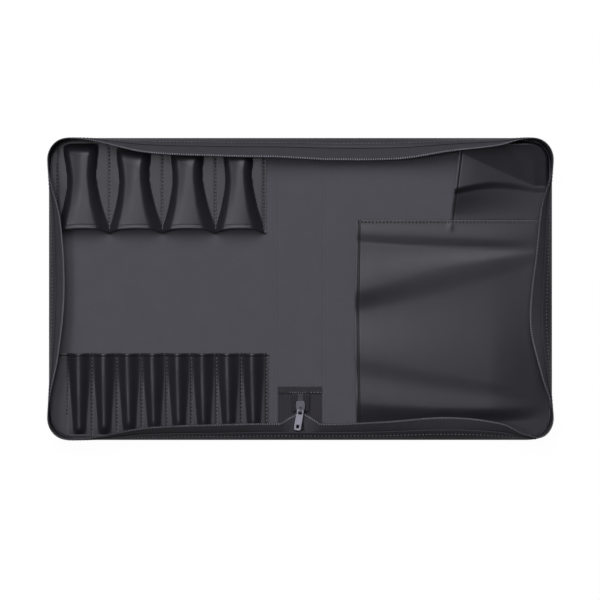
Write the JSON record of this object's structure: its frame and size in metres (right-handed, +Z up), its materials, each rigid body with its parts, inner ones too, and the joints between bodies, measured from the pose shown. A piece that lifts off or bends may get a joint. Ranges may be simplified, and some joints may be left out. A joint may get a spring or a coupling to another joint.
{
  "type": "portfolio case",
  "caption": "Zip-round case that opens flat like a book, with sleeves and pockets for tools on one side and pockets for sheets on the other.",
  "frame": {"origin": "middle of the open case, on the surface that it lies on", "axes": "+X across the open case from the left cover to the right one, +Y up the page, +Z up"},
  "size_m": [0.533, 0.32, 0.0281],
  "materials": {
    "black_leatherette": "fine grain, satin",
    "pocket_leatherette": "smooth, satin",
    "matt_lining": "matt",
    "grey_board": "pressed board",
    "woven_tape": "fine twill",
    "zip_teeth": "satin coil",
    "gunmetal": "dark plated metal"
  },
  "bodies": {
    "spine": {"spine_skin": "black_leatherette", "spine_board": "grey_board", "spine_lining": "matt_lining", "spine_top_wall": "black_leatherette", "spine_top_tape": "woven_tape", "spine_top_teeth": "zip_teeth", "spine_bottom_wall": "black_leatherette", "left_tape_end": "woven_tape", "right_tape_end": "woven_tape", "left_teeth_end": "zip_teeth", "right_teeth_end": "zip_teeth", "left_tail_tape": "woven_tape", "right_tail_tape": "woven_tape", "zip_tail_teeth": "zip_teeth", "zip_bottom_stop": "zip_teeth", "zip_end_patch": "woven_tape", "left_top_fold": "woven_tape", "left_bottom_fold": "woven_tape", "right_top_fold": "woven_tape", "right_bottom_fold": "woven_tape"},
    "left_cover": {"left_cover_skin": "black_leatherette", "left_board": "grey_board", "left_lining": "matt_lining", "left_wall": "black_leatherette", "left_zip_tape": "woven_tape", "left_zip_teeth": "zip_teeth", "tool_pockets": "pocket_leatherette", "pen_sleeves": "pocket_leatherette"},
    "right_cover": {"right_cover_skin": "black_leatherette", "right_board": "grey_board", "right_lining": "matt_lining", "right_wall": "black_leatherette", "right_zip_tape": "woven_tape", "right_zip_teeth": "zip_teeth", "large_pocket": "pocket_leatherette", "corner_pocket": "pocket_leatherette"},
    "zip_slider": {"slider_body": "gunmetal"},
    "pull": {"zip_pull": "gunmetal"}
  },
  "joints": [
    {"name": "left_cover_fold", "type": "hinge", "parent": "spine", "child": "left_cover", "pos_m": [-0.027, 0, 0.001], "axis": [0, 1, 0], "range_deg": [0, 90], "deforming": ["left_top_fold", "left_bottom_fold"]},
    {"name": "right_cover_fold", "type": "hinge", "parent": "spine", "child": "right_cover", "pos_m": [0.027, 0, 0.001], "axis": [0, -1, 0], "range_deg": [0, 90], "deforming": ["right_top_fold", "right_bottom_fold"]},
    {"name": "slider_travel", "type": "slide", "parent": "spine", "child": "zip_slider", "axis": [0, 1, 0], "range_m": [0, 0.0055]},
    {"name": "pull_pivot", "type": "hinge", "parent": "zip_slider", "child": "pull", "pos_m": [0, -0.1283, 0.0116], "axis": [-1, 0, 0], "range_deg": [0, 165]}
  ]
}
